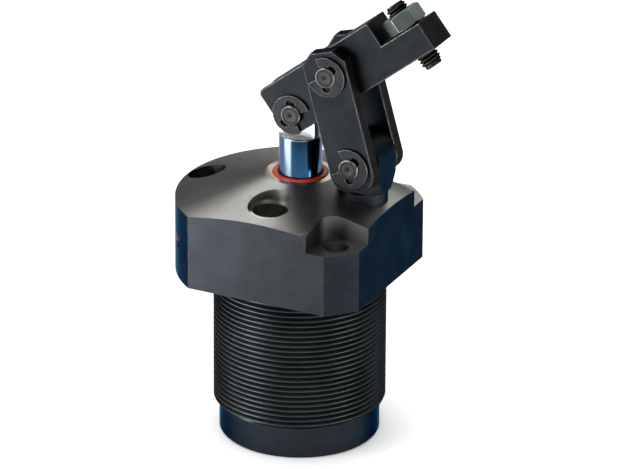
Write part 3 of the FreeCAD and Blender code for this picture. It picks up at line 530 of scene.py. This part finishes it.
def makeBody():
    look = bodyLook
    piece = newPiece("clampBody", mergedCopy("clamp_body", bodyCore))
    slotOf = paintWith(piece, *look["slots"])
    slope = math.atan2(look["landLevel"] - look["rimLevel"], look["flangeRadius"] - look["landRadius"])
    for face in piece.data.polygons:
        spot, up = face.center / mm, face.normal.z
        reach = math.hypot(spot.x, spot.y)
        fromPort = math.hypot(spot.x, spot.y - look["portAt"])
        toFlat = look["flat"] - max(abs(spot.y), spot.x)
        toRound = look["flangeRadius"] - reach
        onCone = abs(up - math.cos(slope)) < look["coneMatch"] and spot.z > look["rimLevel"] - look["reserve"]
        onLand = up > look["level"] and spot.z > look["landLevel"] - look["slack"]
        inPort = fromPort < look["portReach"] and spot.z > look["portDepth"]
        onLedge = (spot.z > look["ledgeLevel"] - look["slack"] and up > look["underside"]
                   and toRound > look["slack"] and toFlat > look["hair"])
        inHole = (look["threadTop"] + look["slack"] < spot.z < look["ledgeLevel"]
                  and abs(up) < look["nearLevel"] and reach > look["holesFrom"]
                  and toRound > look["reserve"] and toFlat > look["slack"])
        onFlat = spot.z > look["threadTop"] and abs(up) < look["upright"] and toFlat < look["hair"]
        if onCone:
            face.material_index = slotOf["coneSteel"]
        elif onLand:
            face.material_index = slotOf["landSteel"]
        elif inPort:
            face.material_index = slotOf["boredSteel"]
        elif onLedge:
            face.material_index = slotOf["seatSteel" if up > look["nearLevel"] else "milledSteel"]
        elif inHole:
            face.material_index = slotOf["boredSteel"]
        elif onFlat:
            face.material_index = slotOf["flatOxide"]
    # the body's bevels take light steel: a painted edge highlight
    softenEdges(piece, look["edge"], slotOf["paintedEdgeHighlight"])
    smoothCone(piece.data, slotOf["coneSteel"], slope)
    hand(piece, "housing", "black_steel", "clamp_body")


def threadInputs(look, finish):
    # the tree's inputs from a thread's own dictionary, in metres
    names = {"radius": "Radius", "depth": "Depth", "pitch": "Pitch", "bottom": "Bottom", "top": "Top",
             "inner": "Inner Radius", "leadIn": "Lead In", "leadOut": "Lead Out"}
    inputs = {names[key]: look[key] * mm for key in names if key in look}
    return {**inputs, "Segments": look["segments"], "Rows Per Turn": look["rowsPerTurn"],
            "Finish": paint[finish]}


makeBody()
barrelThread = makeThread("barrelThread", threadInputs(barrelThreadLook, "threadOxide"))
hand(barrelThread, "housing", "black_steel", "clamp_body")
print("body and barrel thread made")


# Pieces that keep their CAD shape and get small soft edges

# the plates' bevels take a lighter grey: worn bare edges with a painted highlight
plateLook = {"slot": "black_steel", "paint": "plateOxide", "edgePaint": "wornEdgeAndHighlight", "sidePaint": "sawnOxide",
             "broadFace": 0.5}
# the clips' bevels take a lighter grey, a painted highlight
clipLook = {"slot": "black_steel", "paint": "clipOxide", "edgePaint": "paintedRimHighlight", "edge": 0.12}
dressLook = {
    "pivotPost": {"node": "pivot_post", "body": "housing", "slot": "black_steel", "paint": "flatOxide",
                  "edgePaint": "wornEdgeAndHighlight", "edge": 0.18},
    "lever": {**plateLook, "node": "lever", "body": "lever", "edge": 0.12},
    "linkFront": {**plateLook, "node": "link_front", "body": "links", "edge": 0.14},
    "linkRear": {**plateLook, "node": "link_rear", "body": "links", "edge": 0.14},
    "lockNut": {"node": "lock_nut", "body": "lever", "slot": "zinc_steel", "paint": "zinc",
                "edgePaint": "paintedEdgeHighlight", "edge": 0.3},
}
for pin, pinBody in (("rod", "lever"), ("upper", "links"), ("lower", "housing")):
    for side in ("front", "rear"):
        dressLook[pin + "Clip" + side.capitalize()] = {
            **clipLook, "node": "%s_pin_clip_%s" % (pin, side), "body": pinBody}

for name, look in dressLook.items():
    piece = newPiece(name, mergedCopy(look["node"]))
    slotOf = paintWith(piece, *(look[key] for key in ("paint", "edgePaint", "sidePaint") if key in look))
    if "sidePaint" in look:
        # a plate's broad faces look along y, and the rest of it is its sawn outline
        for face in piece.data.polygons:
            if abs(face.normal.y) < look["broadFace"]:
                face.material_index = slotOf[look["sidePaint"]]
    # the bevels take a lighter edge finish, a painted highlight along the edges; on the plates and the post it
    # also stands for worn bare edges
    softenEdges(piece, look["edge"], slotOf[look["edgePaint"]])
    hand(piece, look["body"], look["slot"], look["node"])
print("linkage dressed:", len(dressLook))


# Rod: chromed bar with a ground tang

rodLook = {
    "radius": 6.0, "outside": 5.98, "coreLow": 37.0, "low": 40.0, "high": 88.1, "overlap": 0.01,
    "edge": 0.2, "edgeCut": 0.3, "tangEdge": 0.1, "lowChamfer": 0.1, "foot": 0.3, "lid": 0.6,
    "shrink": 0.985, "segments": 192,
}


def rodCore(form):
    # the bar shrinks a little, under its own finer skin
    for vertex in form.verts:
        reach = math.hypot(vertex.co.x, vertex.co.y)
        top = rodLook["high"] + rodLook["overlap"]
        if reach > rodLook["outside"] * mm and rodLook["coreLow"] * mm < vertex.co.z < top * mm:
            vertex.co.x *= rodLook["shrink"]
            vertex.co.y *= rodLook["shrink"]


def makeRod():
    piece = newPiece("pistonRod", mergedCopy("piston_rod", rodCore))
    slotOf = paintWith(piece, "chrome", "groundSteel", "paintedEdgeHighlight")
    for face in piece.data.polygons:
        if face.center.z > rodLook["high"] * mm:
            face.material_index = slotOf["groundSteel"]
    # the tang's bevels take light steel: a painted edge highlight
    softenEdges(piece, rodLook["tangEdge"], slotOf["paintedEdgeHighlight"])
    hand(piece, "rod", "chrome_rod", "piston_rod")


def makeRodSkin():
    low, high, edge, radius = (rodLook[key] for key in ("low", "high", "edge", "radius"))
    chamfer, cut, top = rodLook["lowChamfer"], edge * rodLook["edgeCut"], high + rodLook["overlap"]
    profile = [(radius * rodLook["shrink"] - rodLook["foot"], low), (radius - chamfer, low),
               (radius, low + chamfer), (radius, high - edge), (radius - cut, high - cut),
               (radius - edge, top), (radius - rodLook["lid"], top)]
    skin = newPiece("rodSkin", turnedMesh("rodSkin", profile, rodLook["segments"]))
    smoothTo(skin.data, meshLook["turnedSharp"])
    paintWith(skin, "chrome")
    hand(skin, "rod", "chrome_rod", "piston_rod")


makeRod()
makeRodSkin()


# Wiper: a lipped ring round the rod

wiperLook = {
    "segments": 160,
    "profile": [(6.45, 73.25), (7.8, 73.25), (7.83, 76.3), (7.81, 76.82), (7.68, 77.12), (7.44, 77.27),
                (7.1, 77.28), (6.7, 77.2), (6.36, 77.16), (6.16, 77.08), (6.07, 76.9), (6.05, 76.5),
                (6.2, 75.4), (6.45, 73.25)],
}
wiper = newPiece("wiperSeal", turnedMesh("wiperSeal", wiperLook["profile"], wiperLook["segments"]))
wiper.data.shade_smooth()
paintWith(wiper, "sealRed")
hand(wiper, "housing", "red_seal", "wiper_seal")
print("rod and wiper made")


# Pins: turned ends with a centre mark and a ring groove near each end

pinShape = {
    "segments": 96, "radius": 3.0, "groove": 2.5, "sharp": 32,
    "grooveEdges": (0.05, 0.06, 0.79, 0.8),                  # along the pin, from its seat
    "chamfer": [(0, -0.42), (-0.06, -0.28), (-0.34, -0.03), (-0.44, 0), (-0.62, 0), (-0.70, -0.07)],
    "centreMark": [(1.5, -0.09), (0.62, -0.09), (0.5, -0.12), (0.12, -0.46), (0, -0.48)],
    "rimFrom": 2.55, "rimTo": 2.9, "rimDepth": 0.3,
}
pinSteel = {
    **oxideLook, "dark": (0.0165, 0.0158, 0.0162), "light": (0.026, 0.025, 0.0252), "glancing": (0.5, 0.5, 0.5),
    "roughness": 0.42, "grainSize": (1.5, 1.5, 1.5), "mottleSize": (1.4, 1.4, 1.4),
    "ringSize": 0.9, "ringDepth": 0.02, "ringLight": (0.042, 0.040, 0.040),
}
pinLook = {
    "rodPin": {"node": "rod_pin", "body": "lever", "half": 6.75, "seat": 5.35},
    "upperPin": {"node": "upper_pin", "body": "links", "half": 11.0, "seat": 9.7},
    "lowerPin": {"node": "lower_pin", "body": "housing", "half": 11.0, "seat": 9.7},
}


def pinProfile(half, seat):
    radius, groove = pinShape["radius"], pinShape["groove"]
    grooveReach = (radius, groove, groove, radius)
    upper = [(reach, seat + along) for reach, along in zip(grooveReach, pinShape["grooveEdges"])]
    upper += [(radius + inward, half + along) for inward, along in pinShape["chamfer"]]
    upper += [(reach, half + along) for reach, along in pinShape["centreMark"]]
    lower = [(reach, -along) for reach, along in reversed(upper)]
    return lower + upper


for name, look in pinLook.items():
    low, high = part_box(look["node"])
    centre = (low + high) / 2
    spin = Matrix.Translation(centre) @ Matrix.Rotation(math.radians(90), 4, "X")
    pin = newPiece(name, turnedMesh(name, pinProfile(look["half"], look["seat"]), pinShape["segments"], spin))
    smoothTo(pin.data, pinShape["sharp"])
    steel = name + "Steel"
    paint[steel] = metalFinish(steel, {**pinSteel, "ringCentre": tuple(c / mm for c in centre)})
    # the ring at the edge of each end takes a lighter grey, a painted highlight
    slotOf = paintWith(pin, steel, "paintedRimHighlight")
    for face in pin.data.polygons:
        out = (face.center - centre) / mm
        onRim = pinShape["rimFrom"] < math.hypot(out.x, out.z) < pinShape["rimTo"]
        if onRim and abs(out.y) > look["half"] - pinShape["rimDepth"]:
            face.material_index = slotOf["paintedRimHighlight"]
    hand(pin, look["body"], "pin_steel", look["node"])
print("pins made")


# Contact screw: a threaded pin in the lever's nose

screwLook = {
    "leverAngle": 38.502, "screwPlace": 43.75, "pivotLevel": 95.7, "shell": 2.45, "core": 2.42,
    "radius": 3.0, "depth": 0.56, "pitch": 1.0, "bottom": -8.5, "top": 9.9, "inner": 2.2,
    "leadIn": 0.5, "leadOut": 0.5, "segments": 48, "rowsPerTurn": 10,
}


def screwFrame():
    turn = math.radians(screwLook["leverAngle"])
    spot = Vector((screwLook["screwPlace"] * math.cos(turn), 0,
                   screwLook["pivotLevel"] + screwLook["screwPlace"] * math.sin(turn)))
    return Matrix.Translation(spot * mm) @ Matrix.Rotation(-turn, 4, "Y")


def screwCore(form):
    # the screw's outside shrinks to the thread's root
    there = screwFrame()
    back = there.inverted()
    for vertex in form.verts:
        spot = back @ vertex.co
        reach = math.hypot(spot.x, spot.y)
        if reach > screwLook["shell"] * mm:
            share = screwLook["core"] * mm / reach
            vertex.co = there @ Vector((spot.x * share, spot.y * share, spot.z))


screw = newPiece("contactScrew", mergedCopy("contact_screw", screwCore))
paintWith(screw, "screwOxide")
smoothTo(screw.data, meshLook["turnedSharp"])
hand(screw, "contact_screw", "screw_steel", "contact_screw")
screwThread = makeThread("contactScrewThread", threadInputs(screwLook, "screwOxide"), screwFrame())
hand(screwThread, "contact_screw", "screw_steel", "contact_screw")
print("contact screw made")


# Pieces inside the body and under it keep their CAD shape

innerPaint = {
    "rod_bushing": "bronze", "end_cap": "brightSteel", "end_cap_seal": "rubber", "end_cap_ring": "springSteel",
    "piston": "brightSteel", "piston_seal": "rubber", "piston_wear_ring": "bearingPlastic",
    "piston_nut": "zinc", "return_spring": "springSteel",
}
for nodeName, name in innerPaint.items():
    node = nodes[nodeName]
    if not node.material_slots:
        node.data.materials.append(None)
    for slot in node.material_slots:
        slot.link = "OBJECT"
        slot.material = paint[name]
print("inner pieces painted:", len(innerPaint))


# Floor, world and lamps

studioLook = {
    "floorSize": 9.0, "floorDrop": 0.1, "floorColour": (0.86, 0.86, 0.86), "floorShade": 0.99, "floorLift": 0.8,
    # the contact values on the next line set the painted contact shadow on the floor
    "toneSize": 300, "tonePattern": (2, 0.5), "paintedShadowSamples": 8, "paintedShadowReach": 0.022, "paintedShadowGain": 1.12,
    "horizon": (0.11, 0.12, 0.14), "overhead": (0.09, 0.09, 0.10), "skyFrom": 0.02, "skyTo": 0.55,
    "lampAim": (0, 0, 0.07),
}
lampLook = {
    "key": {"azimuth": 164, "elevation": 54, "distance": 0.9, "size": (1.04, 0.52), "power": 2.0},
    "low": {"azimuth": -124, "elevation": 1, "distance": 0.6, "size": (0.32, 0.14), "power": 2.1,
            "without": "rodSkin"},
    "left": {"azimuth": -134, "elevation": 41, "distance": 0.8, "size": (0.24, 0.3), "power": 0.85},
    "front": {"azimuth": -50, "elevation": 40, "distance": 1.0, "size": (0.6, 0.6), "power": 1.2},
    "rear": {"azimuth": 96, "elevation": 30, "distance": 0.8, "size": (0.5, 0.2), "power": 0.25},
    "rim": {"azimuth": 116, "elevation": 23.6, "distance": 0.8, "size": (0.16, 0.12), "power": 0.2},
    "side": {"azimuth": 62, "elevation": 34, "distance": 0.8, "size": (0.34, 0.5), "power": 0.44},
    "right": {"azimuth": -6, "elevation": 1, "distance": 0.6, "size": (0.3, 0.14), "power": 1.2},
    "glint": {"azimuth": -138, "elevation": -20, "distance": 0.155, "size": (0.11, 0.03), "power": 0.11,
              "without": "rodSkin"},
    "rodLow": {"azimuth": -136, "elevation": 0, "distance": 0.6, "size": (0.46, 0.13), "power": 5.2,
               "colour": (1.0, 0.32, 0.17), "only": "rodSkin"},
    "rodGlint": {"azimuth": -136, "elevation": -20, "distance": 0.155, "size": (0.13, 0.04), "power": 0.32,
                 "colour": (1.0, 0.32, 0.17), "only": "rodSkin"},
}


def makeFloor(look):
    half = look["floorSize"] / 2
    mesh = bpy.data.meshes.new("floor")
    level = -look["floorDrop"] * mm
    mesh.from_pydata([(-half, -half, level), (half, -half, level), (half, half, level), (-half, half, level)],
                     [], [(0, 1, 2, 3)])
    floor = newPiece("floor", mesh)
    material, bench = startMaterial("floorPaper")
    seen = bench.add("ShaderNodeLightPath", out="Is Camera Ray")
    mirrored = bench.add("ShaderNodeLightPath", out="Is Glossy Ray")
    through = bench.add("ShaderNodeLightPath", out="Is Transmission Ray")
    shows = (seen + mirrored + through).math("MINIMUM", 1.0)
    tone = bench.noise(bench.mapped((look["toneSize"],) * 3), *look["tonePattern"])
    colour = bench.blend(tone, [c * look["floorShade"] for c in look["floorColour"]], look["floorColour"])
    paper = bench.add("ShaderNodeBsdfDiffuse", None, {"Color": colour})
    # painted contact shadow: ambient occlusion dims the floor's glow near the object, also where metals reflect
    # the floor
    near = bench.add("ShaderNodeAmbientOcclusion", {"samples": look["paintedShadowSamples"]},
                     {"Distance": look["paintedShadowReach"]}, out="AO")
    clear = (near * look["paintedShadowGain"]).math("MINIMUM", 1.0)
    strength = shows * clear * look["floorLift"]
    glow = bench.add("ShaderNodeEmission", None, {"Color": (1, 1, 1), "Strength": strength})
    both = bench.add("ShaderNodeAddShader", None, {0: paper, 1: glow})
    bench.add("ShaderNodeOutputMaterial", None, {"Surface": both})
    mesh.materials.append(material)


def makeWorld(look):
    world = bpy.data.worlds.new("studio")
    world.use_nodes = True
    world.node_tree.nodes.clear()
    bench = Bench(world.node_tree)
    _, _, height = bench.split(bench.add("ShaderNodeTexCoord", out="Generated"))
    rise = bench.between(height, look["skyFrom"], look["skyTo"])
    light = bench.add("ShaderNodeBackground", None, {
        "Color": bench.blend(rise, look["horizon"], look["overhead"]), "Strength": 1.0})
    bench.add("ShaderNodeOutputWorld", None, {"Surface": light})
    bpy.context.scene.world = world


def makeLamp(name, look):
    turn, rise = math.radians(look["azimuth"]), math.radians(look["elevation"])
    way = Vector((math.cos(turn) * math.cos(rise), math.sin(turn) * math.cos(rise), math.sin(rise)))
    data = bpy.data.lights.new(name, "AREA")
    data.shape = "RECTANGLE"
    data.size, data.size_y = look["size"]
    data.energy = look["power"]
    data.color = look.get("colour", (1, 1, 1))
    lamp = newPiece(name, data)
    lamp.visible_camera = False
    lamp.location = Vector(studioLook["lampAim"]) + way * look["distance"]
    lamp.rotation_euler = way.to_track_quat("Z", "Y").to_euler()
    for key, state in (("only", "INCLUDE"), ("without", "EXCLUDE")):
        if key in look:
            # a lamp kept to a piece or off it, as a snoot or a flag would
            group = bpy.data.collections.new(name + "Group")
            group.objects.link(bpy.data.objects[look[key]])
            group.collection_objects[0].light_linking.link_state = state
            lamp.light_linking.receiver_collection = group


makeFloor(studioLook)
makeWorld(studioLook)
for name, look in lampLook.items():
    makeLamp(name + "Lamp", look)
bpy.context.scene.view_settings.view_transform = "Standard"
print("studio made")
